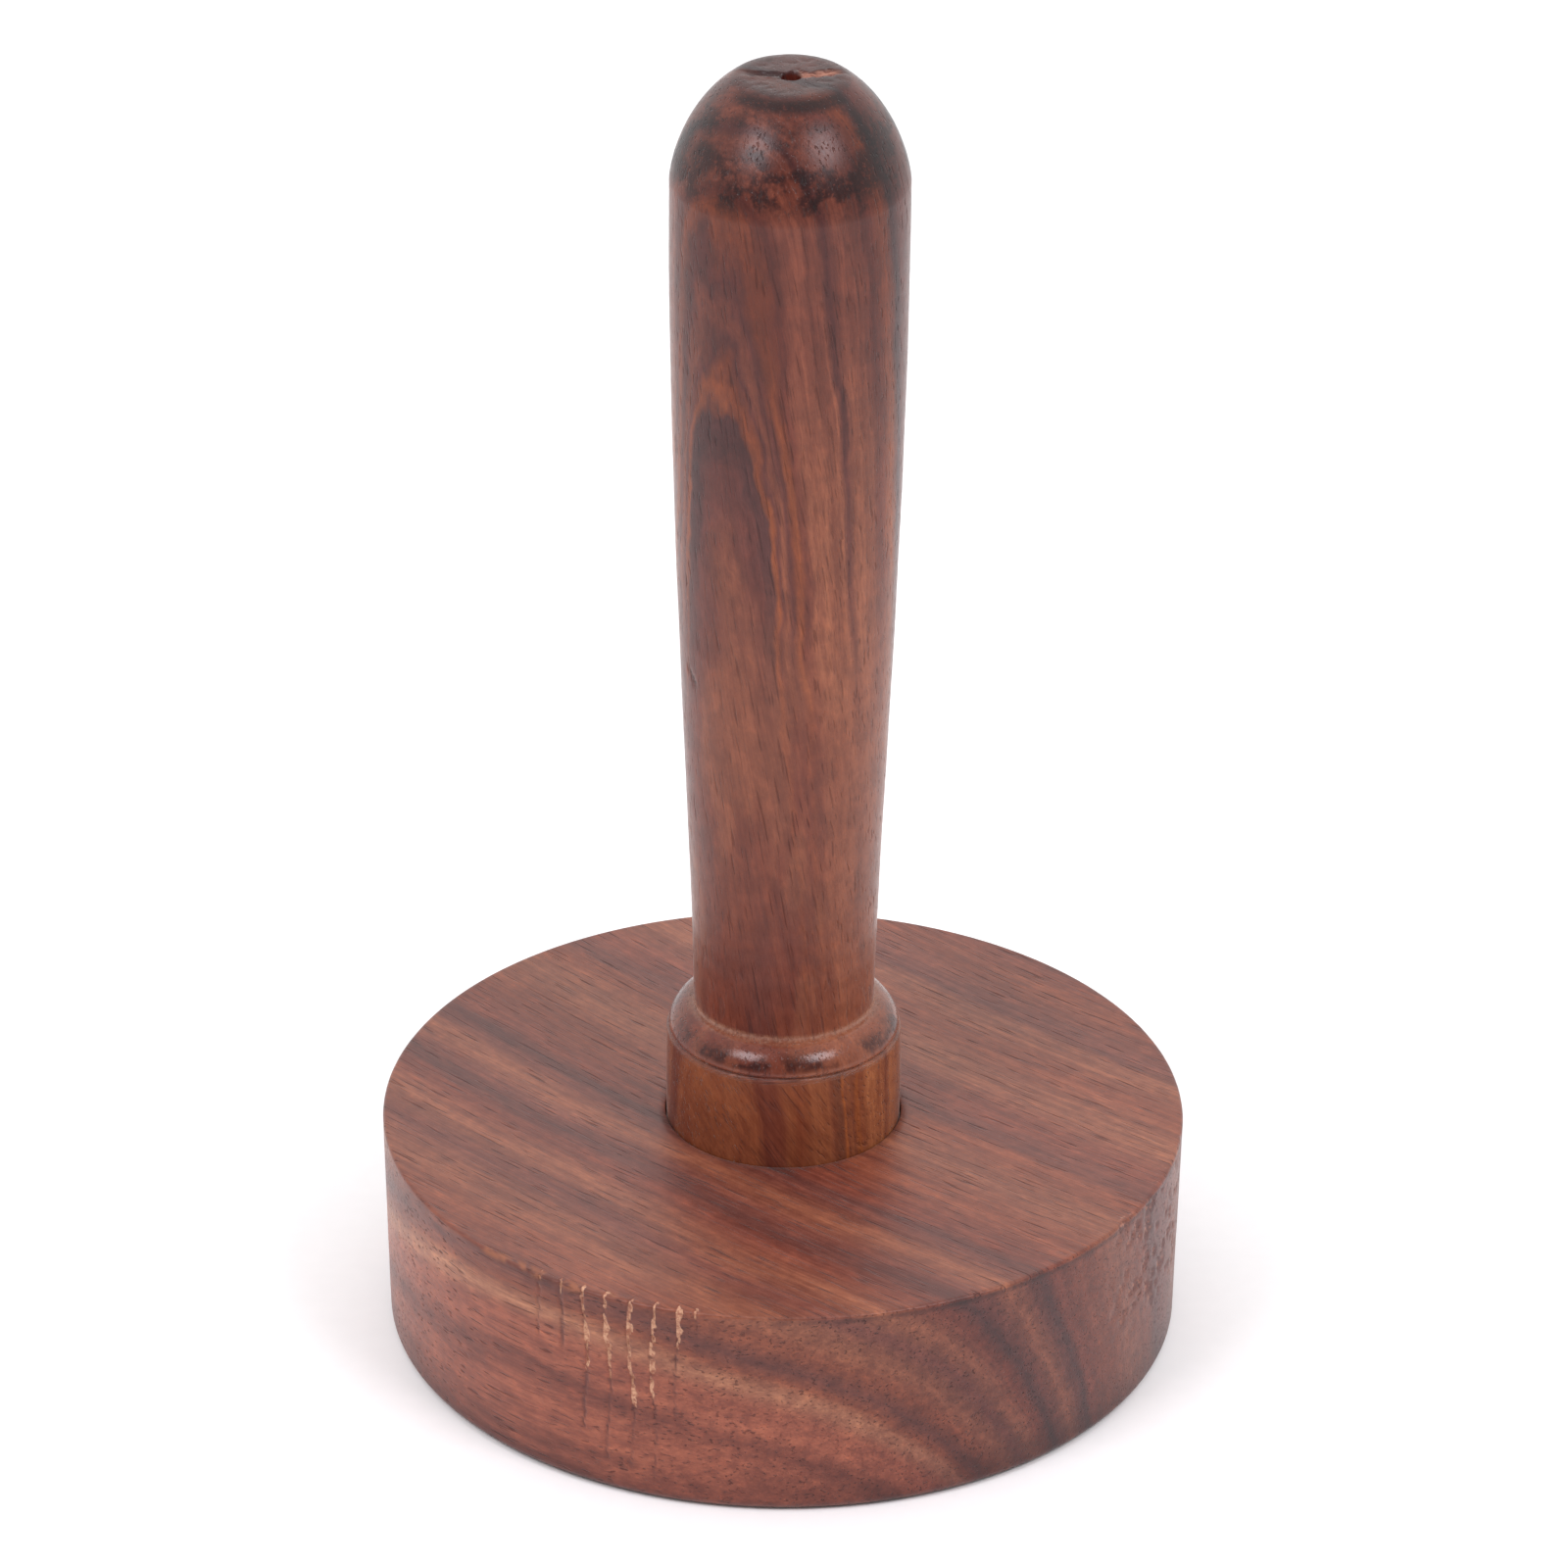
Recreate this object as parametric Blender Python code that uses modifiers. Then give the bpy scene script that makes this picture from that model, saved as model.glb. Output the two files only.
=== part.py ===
"""Wooden mallet: a turned handle standing upright in a thick round head.

Units are metres, +Z is up. The origin is the centre of the striking face, on which the mallet stands.
The handle's foot sits in a bored socket in the head, and a countersunk wood screw holds it from below.
A wooden plug closes the screw's counterbore flush with the striking face.
"""

import math

import bmesh
import bpy

MM = 0.001

# Clearance kept between pieces that touch on the real object.
GAP = 0.3 * MM

# Head disc.
HEAD_RADIUS = 50.0 * MM
HEAD_BOTTOM_RADIUS = 49.4 * MM
HEAD_THICKNESS = 28.0 * MM
HEAD_TOP_EASE = 0.4 * MM
HEAD_BOTTOM_ROUND = 1.3 * MM
HEAD_STEPS = 72

# Socket in the head for the foot of the handle.
SOCKET_RADIUS = 15.2 * MM
SOCKET_DEPTH = 12.0 * MM
SOCKET_CHAMFER = 0.3 * MM

# Handle: heights are measured from the striking face.
FOOT_RADIUS = 14.65 * MM
FOOT_SWELL = 0.18 * MM
FOOT_CHAMFER = 0.5 * MM
GROOVE_Z = 40.3 * MM
GROOVE_WIDTH = 0.5 * MM
GROOVE_DEPTH = 0.35 * MM
BEAD_BASE_RADIUS = 14.35 * MM
BEAD_TOP_Z = 43.8 * MM
BEAD_TOP_RADIUS = 11.55 * MM
BEAD_FULLNESS = 1.6
NECK_RADIUS = 11.2 * MM
NECK_Z = 44.1 * MM
GRIP_RADIUS = 14.36 * MM
GRIP_FULL_Z = 151.5 * MM
GRIP_TOP_Z = 155.5 * MM
GRIP_SWELL_POWER = 1.35
DOME_SHOULDER_HANDLE = 1.1 * MM
DOME_PULL = (13.0 * MM, 164.4 * MM)
FLAT_RADIUS = 7.0 * MM
FLAT_Z = 168.45 * MM
HANDLE_TOP_Z = 168.8 * MM
CENTRE_HOLE_RADIUS = 1.3 * MM
CENTRE_HOLE_DEPTH = 2.4 * MM
HANDLE_STEPS = 48

# Plug under the screw head.
PLUG_RADIUS = 6.0 * MM
PLUG_THICKNESS = 6.0 * MM
PLUG_CHAMFER = 0.4 * MM
PLUG_STEPS = 48

# Wood screw: a countersunk head, a plain shank, then a thread that tapers to a point.
SCREW_HEAD_RADIUS = 4.6 * MM
SCREW_HEAD_RIM = 0.35 * MM
SCREW_HEAD_CONE = 2.4 * MM
SCREW_SHANK_RADIUS = 2.25 * MM
SCREW_CORE_RADIUS = 1.6 * MM
SCREW_THREAD_RADIUS = 2.4 * MM
SCREW_THREAD_START = 12.0 * MM
SCREW_PITCH = 2.2 * MM
SCREW_TURNS = 11
SCREW_LENGTH = 42.0 * MM
SCREW_POINT_LENGTH = 4.5 * MM
SCREW_STEPS = 16
RECESS_ARM_LENGTH = 4.6 * MM
RECESS_ARM_WIDTH = 0.9 * MM
RECESS_DEPTH = 1.5 * MM

# Heights and radii that follow from the sizes above.
SOCKET_FLOOR_Z = HEAD_THICKNESS - SOCKET_DEPTH
FOOT_Z = SOCKET_FLOOR_Z + GAP
SCREW_HEAD_Z = PLUG_THICKNESS + GAP
COUNTERBORE_RADIUS = PLUG_RADIUS + GAP
SHANK_HOLE_RADIUS = SCREW_SHANK_RADIUS + GAP
PILOT_HOLE_RADIUS = SCREW_THREAD_RADIUS + GAP
PILOT_HOLE_TOP_Z = SCREW_HEAD_Z + SCREW_LENGTH + 2 * GAP

WOOD_HEAD = ("head_wood", (0.30, 0.125, 0.075, 1.0), 0.42, 0.0)
WOOD_HANDLE = ("handle_wood", (0.24, 0.085, 0.045, 1.0), 0.34, 0.0)
WOOD_PLUG = ("plug_wood", (0.34, 0.16, 0.09, 1.0), 0.5, 0.0)
STEEL = ("screw_steel", (0.62, 0.60, 0.56, 1.0), 0.32, 1.0)


def clear_scene():
    for obj in list(bpy.data.objects):
        bpy.data.objects.remove(obj, do_unlink=True)


def new_collection(name):
    collection = bpy.data.collections.new(name)
    bpy.context.scene.collection.children.link(collection)
    return collection


def make_material(name, colour, roughness, metallic):
    material = bpy.data.materials.new(name)
    material.use_nodes = True
    shader = material.node_tree.nodes["Principled BSDF"]
    shader.inputs["Base Color"].default_value = colour
    shader.inputs["Roughness"].default_value = roughness
    shader.inputs["Metallic"].default_value = metallic
    material.diffuse_color = colour
    return material


def add_object(name, mesh, collection):
    obj = bpy.data.objects.new(name, mesh)
    collection.objects.link(obj)
    return obj


def mesh_from_bmesh(name, bm):
    mesh = bpy.data.meshes.new(name)
    bm.to_mesh(mesh)
    bm.free()
    return mesh


def shade_smooth(obj, angle=math.radians(30)):
    obj.data.shade_smooth()
    obj.data.set_sharp_from_angle(angle=angle)


def arc_points(centre, radius, start, end, count):
    """Points on an arc in the profile plane, as (radius, height), angles in degrees from +X."""
    points = []
    for i in range(count + 1):
        angle = math.radians(start + (end - start) * i / count)
        x = centre[0] + radius * math.cos(angle)
        z = centre[1] + radius * math.sin(angle)
        points.append((x, z))
    return points


def bezier_points(p0, p1, p2, p3, count):
    """Points on a cubic curve from p0 to p3, both ends included."""
    points = []
    for i in range(count + 1):
        t = i / count
        s = 1 - t
        weights = (s**3, 3 * s * s * t, 3 * s * t * t, t**3)
        x = sum(w * p[0] for w, p in zip(weights, (p0, p1, p2, p3)))
        z = sum(w * p[1] for w, p in zip(weights, (p0, p1, p2, p3)))
        points.append((x, z))
    return points


def turned(name, profile, steps, collection, closed=False):
    """An object whose profile of (radius, height) points is spun around Z by a Screw modifier."""
    bm = bmesh.new()
    verts = [bm.verts.new((x, 0.0, z)) for x, z in profile]
    for first, second in zip(verts, verts[1:]):
        bm.edges.new((first, second))
    if closed:
        bm.edges.new((verts[-1], verts[0]))
    obj = add_object(name, mesh_from_bmesh(name, bm), collection)
    screw = obj.modifiers.new("Turn", "SCREW")
    screw.axis = "Z"
    screw.angle = math.tau
    screw.steps = steps
    screw.render_steps = steps
    screw.use_merge_vertices = True
    screw.merge_threshold = 0.00001
    screw.use_smooth_shade = True
    return obj


def cut(obj, cutter, name):
    cutter.hide_render = True
    cutter.display_type = "WIRE"
    modifier = obj.modifiers.new(name, "BOOLEAN")
    modifier.operation = "DIFFERENCE"
    modifier.solver = "EXACT"
    modifier.object = cutter


def head_profile():
    """Closed loop: top face, down the side, along the striking face, then up the bores."""
    taper = HEAD_RADIUS - HEAD_BOTTOM_RADIUS
    round_centre = (HEAD_BOTTOM_RADIUS - HEAD_BOTTOM_ROUND, HEAD_BOTTOM_ROUND)
    ease_centre = (HEAD_RADIUS - HEAD_TOP_EASE, HEAD_THICKNESS - HEAD_TOP_EASE)
    sink_z = SCREW_HEAD_Z + SCREW_HEAD_RIM
    cone_end_z = sink_z + SCREW_HEAD_CONE

    profile = [(SOCKET_RADIUS + SOCKET_CHAMFER, HEAD_THICKNESS)]
    profile += arc_points(ease_centre, HEAD_TOP_EASE, 90, 0, 2)
    profile += [(HEAD_RADIUS - taper / 2, HEAD_THICKNESS / 2)]
    profile += arc_points(round_centre, HEAD_BOTTOM_ROUND, 0, -90, 4)
    profile += [
        (COUNTERBORE_RADIUS, 0.0),
        (COUNTERBORE_RADIUS, SCREW_HEAD_Z),
        (SCREW_HEAD_RADIUS + GAP, SCREW_HEAD_Z),
        (SCREW_HEAD_RADIUS + GAP, sink_z),
        (SHANK_HOLE_RADIUS, cone_end_z),
        (SHANK_HOLE_RADIUS, SOCKET_FLOOR_Z),
        (SOCKET_RADIUS, SOCKET_FLOOR_Z),
        (SOCKET_RADIUS, HEAD_THICKNESS - SOCKET_CHAMFER),
    ]
    return profile


def build_head_disc(parts):
    obj = turned("head_disc", head_profile(), HEAD_STEPS, parts, closed=True)
    obj.data.materials.append(make_material(*WOOD_HEAD))
    return obj


def grip_radius(z):
    """The grip swells from the neck to its full radius, quickest just above the neck."""
    share = min(1.0, max(0.0, (z - NECK_Z) / (GRIP_FULL_Z - NECK_Z)))
    swell = math.sin(math.pi / 2 * share) ** GRIP_SWELL_POWER
    return NECK_RADIUS + (GRIP_RADIUS - NECK_RADIUS) * swell


def grip_points(count):
    """Down the grip from just under the dome to the neck."""
    points = []
    for i in range(1, count + 1):
        z = GRIP_TOP_Z + (NECK_Z - GRIP_TOP_Z) * i / count
        points.append((grip_radius(z), z))
    return points


def bead_points(count):
    """A flattened quarter round from the ledge under the grip out and down to the groove."""
    base_z = GROOVE_Z + GROOVE_WIDTH / 2
    width = BEAD_BASE_RADIUS - BEAD_TOP_RADIUS
    height = BEAD_TOP_Z - base_z
    power = 2 / BEAD_FULLNESS
    points = []
    for i in range(count + 1):
        angle = math.pi / 2 * (1 - i / count)
        x = BEAD_TOP_RADIUS + width * abs(math.cos(angle)) ** power
        z = base_z + height * abs(math.sin(angle)) ** power
        points.append((x, z))
    return points


def foot_points(count):
    """The foot's side from the groove to its bottom chamfer, with a slight swell above the head."""
    top_z = GROOVE_Z - GROOVE_WIDTH / 2
    points = []
    for i in range(count + 1):
        z = top_z + (HEAD_THICKNESS - top_z) * i / count
        points.append((FOOT_RADIUS + FOOT_SWELL * math.sin(math.pi * i / count), z))
    points.append((FOOT_RADIUS, FOOT_Z + FOOT_CHAMFER))
    points.append((FOOT_RADIUS - FOOT_CHAMFER, FOOT_Z))
    return points


def handle_profile():
    """From the bottom of the lathe-centre hole, over the dome, down the side, up the pilot hole."""
    dome = bezier_points(
        (FLAT_RADIUS, FLAT_Z),
        DOME_PULL,
        (GRIP_RADIUS, GRIP_TOP_Z + DOME_SHOULDER_HANDLE),
        (GRIP_RADIUS, GRIP_TOP_Z),
        9,
    )
    profile = [
        (0.0, HANDLE_TOP_Z - CENTRE_HOLE_DEPTH),
        (0.45 * CENTRE_HOLE_RADIUS, HANDLE_TOP_Z - 0.7 * CENTRE_HOLE_DEPTH),
        (CENTRE_HOLE_RADIUS, HANDLE_TOP_Z - 0.25 * MM),
        (CENTRE_HOLE_RADIUS + 0.3 * MM, HANDLE_TOP_Z),
        (0.6 * FLAT_RADIUS, HANDLE_TOP_Z - 0.1 * MM),
    ]
    profile += dome
    profile += grip_points(12)
    profile += bead_points(6)
    profile += [(BEAD_BASE_RADIUS - GROOVE_DEPTH, GROOVE_Z)]
    profile += foot_points(3)
    profile += [
        (PILOT_HOLE_RADIUS + GAP, FOOT_Z),
        (PILOT_HOLE_RADIUS, FOOT_Z + GAP),
        (PILOT_HOLE_RADIUS, PILOT_HOLE_TOP_Z - SCREW_POINT_LENGTH),
        (0.0, PILOT_HOLE_TOP_Z),
    ]
    return profile


def build_handle(parts):
    obj = turned("handle", handle_profile(), HANDLE_STEPS, parts)
    obj.data.materials.append(make_material(*WOOD_HANDLE))
    return obj


def build_plug(parts):
    """A short round plug with its inner rim eased, so that it starts easily in the counterbore."""
    bm = bmesh.new()
    bmesh.ops.create_cone(
        bm,
        cap_ends=True,
        segments=PLUG_STEPS,
        radius1=PLUG_RADIUS,
        radius2=PLUG_RADIUS,
        depth=PLUG_THICKNESS,
    )
    rim = [e for e in bm.edges if all(v.co.z > 0 for v in e.verts)]
    bmesh.ops.bevel(bm, geom=rim, offset=PLUG_CHAMFER, segments=1, affect="EDGES")
    obj = add_object("screw_plug", mesh_from_bmesh("screw_plug", bm), parts)
    obj.location.z = PLUG_THICKNESS / 2
    obj.data.materials.append(make_material(*WOOD_PLUG))
    shade_smooth(obj)
    return obj


def screw_body_profile():
    """Closed by the axis at both ends: point, core, shank, countersunk head, flat driving face."""
    head_top = SCREW_HEAD_RIM + SCREW_HEAD_CONE
    shank_end = SCREW_THREAD_START
    return [
        (0.0, SCREW_LENGTH),
        (0.25 * MM, SCREW_LENGTH - 0.3 * MM),
        (SCREW_CORE_RADIUS, SCREW_LENGTH - SCREW_POINT_LENGTH),
        (SCREW_CORE_RADIUS, shank_end + 1.0 * MM),
        (SCREW_SHANK_RADIUS, shank_end),
        (SCREW_SHANK_RADIUS, head_top),
        (SCREW_HEAD_RADIUS, SCREW_HEAD_RIM),
        (SCREW_HEAD_RADIUS, 0.0),
        (0.0, 0.0),
    ]


def build_thread(helpers):
    """One closed triangular ridge wound round the core, its two ends capped."""
    root = SCREW_CORE_RADIUS - 0.35 * MM
    half = 0.3 * SCREW_PITCH
    bm = bmesh.new()
    corners = [(root, -half), (root, half), (SCREW_THREAD_RADIUS, 0.0)]
    verts = [bm.verts.new((x, 0.0, z)) for x, z in corners]
    for i in range(3):
        bm.edges.new((verts[i], verts[(i + 1) % 3]))
    wire = add_object("thread_wire", mesh_from_bmesh("thread_wire", bm), helpers)
    screw = wire.modifiers.new("Wind", "SCREW")
    screw.axis = "Z"
    screw.angle = math.tau
    screw.screw_offset = SCREW_PITCH
    screw.iterations = SCREW_TURNS
    screw.steps = SCREW_STEPS
    screw.render_steps = SCREW_STEPS

    graph = bpy.context.evaluated_depsgraph_get()
    mesh = bpy.data.meshes.new_from_object(wire.evaluated_get(graph))
    bpy.data.objects.remove(wire, do_unlink=True)
    bm = bmesh.new()
    bm.from_mesh(mesh)
    bmesh.ops.holes_fill(bm, edges=[e for e in bm.edges if e.is_boundary], sides=3)
    bmesh.ops.recalc_face_normals(bm, faces=bm.faces)
    bm.to_mesh(mesh)
    bm.free()
    thread = add_object("thread_ridge", mesh, helpers)
    thread.location.z = SCREW_HEAD_Z + SCREW_THREAD_START + 0.9 * MM
    return thread


def recess_arm(name, angle, helpers):
    """One arm of the cross recess in the screw's driving face."""
    bm = bmesh.new()
    bmesh.ops.create_cube(bm, size=1.0)
    size = (RECESS_ARM_LENGTH, RECESS_ARM_WIDTH, 2 * RECESS_DEPTH)
    for vert in bm.verts:
        taper = 0.55 if vert.co.z > 0 else 1.0
        vert.co.x *= size[0] * taper
        vert.co.y *= size[1]
        vert.co.z *= size[2]
    arm = add_object(name, mesh_from_bmesh(name, bm), helpers)
    arm.rotation_euler.z = angle
    arm.location.z = SCREW_HEAD_Z
    return arm


def build_screw(parts, helpers):
    obj = turned("wood_screw", screw_body_profile(), SCREW_STEPS, parts)
    obj.location.z = SCREW_HEAD_Z
    ridge = build_thread(helpers)
    ridge.hide_render = True
    ridge.display_type = "WIRE"
    join = obj.modifiers.new("Thread", "BOOLEAN")
    join.operation = "UNION"
    join.solver = "EXACT"
    join.object = ridge
    for i, name in enumerate(("recess_arm_a", "recess_arm_b")):
        cut(obj, recess_arm(name, i * math.pi / 2, helpers), name)
    obj.data.materials.append(make_material(*STEEL))
    return obj


def main():
    clear_scene()
    parts = new_collection("wooden_mallet")
    helpers = new_collection("cutters")
    build_head_disc(parts)
    build_handle(parts)
    build_plug(parts)
    build_screw(parts, helpers)


main()
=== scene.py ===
"""Looks of the wooden mallet: a turned handle with a rounded top, set in a thick round wooden head.

The CAD frame gives the places. The turned pieces are remade as dense meshes with their tool marks, and
every surface has a procedural wood or steel material. Lengths are in millimetres until a mesh is made.
Around an axis, angle 0 faces the front (-Y) and grows towards +X.
"""

import math

import bpy
import numpy as np
from mathutils import Matrix, Vector, noise

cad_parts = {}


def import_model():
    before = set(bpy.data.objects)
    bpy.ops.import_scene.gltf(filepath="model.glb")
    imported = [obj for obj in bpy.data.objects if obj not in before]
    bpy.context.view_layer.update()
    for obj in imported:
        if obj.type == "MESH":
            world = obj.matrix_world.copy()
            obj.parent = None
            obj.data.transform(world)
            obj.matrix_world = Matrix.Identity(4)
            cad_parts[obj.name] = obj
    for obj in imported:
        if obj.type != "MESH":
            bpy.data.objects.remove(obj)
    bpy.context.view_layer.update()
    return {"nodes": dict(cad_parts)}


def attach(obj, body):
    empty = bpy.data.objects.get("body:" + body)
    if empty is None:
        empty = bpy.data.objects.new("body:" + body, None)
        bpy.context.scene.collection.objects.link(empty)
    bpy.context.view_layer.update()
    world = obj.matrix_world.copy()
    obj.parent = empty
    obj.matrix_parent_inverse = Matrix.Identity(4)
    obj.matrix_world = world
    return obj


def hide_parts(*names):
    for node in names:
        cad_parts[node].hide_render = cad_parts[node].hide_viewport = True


MM = 0.001

# Head disc
HEAD_RADIUS = 50.0
HEAD_BOTTOM_RADIUS = 49.4
HEAD_THICKNESS = 28.0
HEAD_TOP_EASE = 0.4
HEAD_BOTTOM_ROUND = 1.3
SOCKET_RADIUS = 14.72
SOCKET_CHAMFER = 0.12
SOCKET_FLOOR_Z = 16.0
COUNTERBORE_RADIUS = 6.3
COUNTERBORE_TOP_Z = 6.3
SHANK_HOLE_RADIUS = 2.55

# Handle
FOOT_Z = 16.3
FOOT_RADIUS = 14.65
FOOT_CHAMFER = 0.5
FOOT_SWELL = 0.18
GROOVE_Z = 40.3
GROOVE_WIDTH = 0.5
GROOVE_DEPTH = 0.12
BEAD_BASE_RADIUS = 14.35
BEAD_TOP_Z = 43.8
BEAD_TOP_RADIUS = 11.55
BEAD_FULLNESS = 1.6
NECK_RADIUS = 11.2
NECK_Z = 44.1
GRIP_RADIUS = 14.36
GRIP_FULL_Z = 151.5
GRIP_TOP_Z = 155.5
GRIP_SWELL_POWER = 1.35
DOME_CURVE = ((14.36, 155.5), (14.36, 156.6), (13.0, 164.4), (7.0, 168.45))
HANDLE_TOP_Z = 168.8
CENTRE_HOLE_RADIUS = 1.3
CENTRE_HOLE_DEPTH = 2.4
PILOT_HOLE_RADIUS = 2.7
PILOT_HOLE_TOP_Z = 48.9
HANDLE_COLUMNS = 208

# Plug under the head
PLUG_RADIUS = 6.0
PLUG_THICKNESS = 6.0
PLUG_CHAMFER = 0.4
PLUG_COLUMNS = 72

# Tool marks left by the saw teeth in the side of the head:
# (angle in degrees, height where the torn part ends, its width, height where the thin cut ends, its width)
TEAR_OUTS = (
    (-36.5, 26.8, 0.16, 19.5, 0.26),
    (-32.6, 26.0, 0.22, 18.6, 0.44),
    (-28.6, 16.5, 0.48, 8.0, 0.30),
    (-25.0, 16.0, 0.56, 4.5, 0.30),
    (-21.4, 12.5, 0.54, 4.0, 0.28),
    (-18.1, 14.0, 0.72, 3.0, 0.24),
    (-14.7, 21.5, 0.46, 12.5, 0.28),
    (-12.1, 26.5, 0.22, 22.0, 0.20),
)
TEAR_DEPTH = 0.26
TEAR_CUT_DEPTH = 0.16
TEAR_FINE_RANGE = (-42.0, -8.0)
TEAR_FINE_STEP = 0.28
HEAD_ANGLE_STEP = 0.72

# Other wear on the head: where each mark starts and ends round it, in degrees, and how deep it is
RIM_CHIP_SPAN = ((-58, -44), (-26, -14))
RIM_CHIP_DEPTH = 0.16
RIM_CHIP_DROP = 0.08
PIT_SPAN = ((50, 60), (78, 86))
PIT_HEIGHTS = (9, 14)
PIT_DEPTH = 0.26
HEAD_SIDE_WAVE = 0.035
HEAD_SIDE_ROUGH = 0.012
HEAD_TOP_WAVE = 0.03
HEAD_TOP_LIMIT = 0.02

# Marks on the handle
GRIP_WAVE = 0.05
GRIP_RIPPLE = 0.006
FLAT_EDGE_RADIUS = 6.6
FLAT_WEAR_DEPTH = 0.05
FLAT_CHIP_DEPTH = 0.34
FLAT_CRACK_DEPTH = 0.3
SCRATCH_ANGLE = -62.0
SCRATCH_HEIGHT = 92.0
SCRATCH_SLOPE = 0.198
SCRATCH_DEPTH = 0.18

# Random seeds, one for each use
SEED_HEAD_JITTER = 3.0
SEED_HEAD_RAGGED = 9.0
SEED_HEAD_PITS = 21.0
SEED_HEAD_SIDE = 5
SEED_HEAD_TOP = 8
SEED_GRIP = 2
SEED_HANDLE_FLAT = 4.0
SEED_PLUG = 14.0


# ---------------------------------------------------------------- meshes


def arc(centre, radius, start, end, steps):
    """Points of an arc in the (r, z) plane, between two angles in degrees."""
    angles = np.radians(np.linspace(start, end, steps + 1))
    return [(centre[0] + radius * math.cos(a), centre[1] + radius * math.sin(a)) for a in angles]


def bezier(points, steps):
    """Points of a cubic Bezier curve."""
    p = [np.array(q) for q in points]
    out = []
    for s in np.linspace(0.0, 1.0, steps + 1):
        q = (1 - s) ** 3 * p[0] + 3 * s * (1 - s) ** 2 * p[1] + 3 * s * s * (1 - s) * p[2] + s**3 * p[3]
        out.append((float(q[0]), float(q[1])))
    return out


def walk(points, step):
    """The same outline with extra points, so that no run is longer than step."""
    out = [points[0]]
    for a, b in zip(points, points[1:]):
        count = max(1, math.ceil(math.dist(a, b) / step))
        for k in range(1, count + 1):
            share = k / count
            out.append((a[0] + (b[0] - a[0]) * share, a[1] + (b[1] - a[1]) * share))
    return out


def lathe(name, outline, angles, shape):
    """A closed turned mesh. The outline runs in the (r, z) plane from the axis back to the axis, or round a
    ring back to its start. shape(radius, angle, height) moves the points and returns the new radius and
    height and a dictionary of the values to store at each point."""
    ring = outline[0] == outline[-1]
    rows = np.array(outline[:-1] if ring else outline)
    columns = len(angles)
    radius = np.repeat(rows[:, 0:1], columns, axis=1)
    height = np.repeat(rows[:, 1:2], columns, axis=1)
    angle = np.repeat(np.asarray(angles)[None, :], len(rows), axis=0)
    radius, height, marks = shape(radius, angle, height)
    grid = np.stack([radius * np.sin(angle), -radius * np.cos(angle), height], axis=-1) * MM
    index = np.arange(len(rows) * columns).reshape(len(rows), columns)
    verts = grid.reshape(-1, 3)
    if not ring:
        for end in (0, -1):
            index[end, :] = index[end, 0]
    faces = []
    count = len(rows) if ring else len(rows) - 1
    for i in range(count):
        low, high = index[i], index[(i + 1) % len(rows)]
        for j in range(columns):
            k = (j + 1) % columns
            face = []
            for v in (low[j], low[k], high[k], high[j]):
                if v not in face:
                    face.append(int(v))
            faces.append(face)
    used = np.unique(np.concatenate([np.array(f) for f in faces]))
    place = -np.ones(len(verts), int)
    place[used] = np.arange(len(used))
    mesh = bpy.data.meshes.new(name)
    mesh.from_pydata(verts[used].tolist(), [], [[int(place[v]) for v in f] for f in faces])
    for key, values in marks.items():
        layer = mesh.attributes.new(key, "FLOAT", "POINT")
        layer.data.foreach_set("value", values.reshape(-1)[used].astype(np.float32))
    mesh.validate()
    mesh.shade_smooth()
    mesh.set_sharp_from_angle(angle=math.radians(50))
    piece = bpy.data.objects.new(name, mesh)
    bpy.context.scene.collection.objects.link(piece)
    return piece


def soft_step(value, low, high):
    """0 at low and 1 at high, with a smooth rise between."""
    share = np.clip((value - low) / (high - low), 0.0, 1.0)
    return share * share * (3.0 - 2.0 * share)


def soft_span(value, rise, fall):
    """1 between the rise and the fall and 0 outside them. Each is a (start, end) pair."""
    return soft_step(value, *rise) * (1.0 - soft_step(value, *fall))


def signed_degrees(angle):
    """Angles in degrees, from -180 to 180."""
    return (np.degrees(angle) + 180.0) % 360.0 - 180.0


def lumps(angle, height, seed, turns=(2, 3, 5), lengths=(60.0, 34.0, 19.0)):
    """Smooth unevenness between about -1 and 1, the same each run."""
    draw = np.random.default_rng(seed)
    total = np.zeros_like(angle)
    for turn, length in zip(turns, lengths):
        phase = draw.uniform(0.0, 2 * math.pi, 2)
        total += np.sin(turn * angle + phase[0]) * np.sin(2 * math.pi * height / length + phase[1])
    return total / len(turns)


def rough(angle, height, radius, grain, seed):
    """Fine random unevenness with the given grain size, one value at each point."""
    flat = np.stack([radius * np.sin(angle), -radius * np.cos(angle), height], axis=-1).reshape(-1, 3)
    values = [noise.noise(Vector(p) / grain + Vector((seed, 0.0, 0.0))) for p in flat.tolist()]
    return np.array(values).reshape(angle.shape)


def turn_between(fine, fine_step, step):
    """Angles all round, in radians, closer together inside the fine range (degrees)."""
    inside = np.arange(fine[0], fine[1], fine_step)
    count = math.ceil((360.0 - (fine[1] - fine[0])) / step)
    outside = np.linspace(fine[1], fine[0] + 360.0, count, endpoint=False)
    return np.radians(np.concatenate([inside, outside]))


# ---------------------------------------------------------------- head disc


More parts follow.
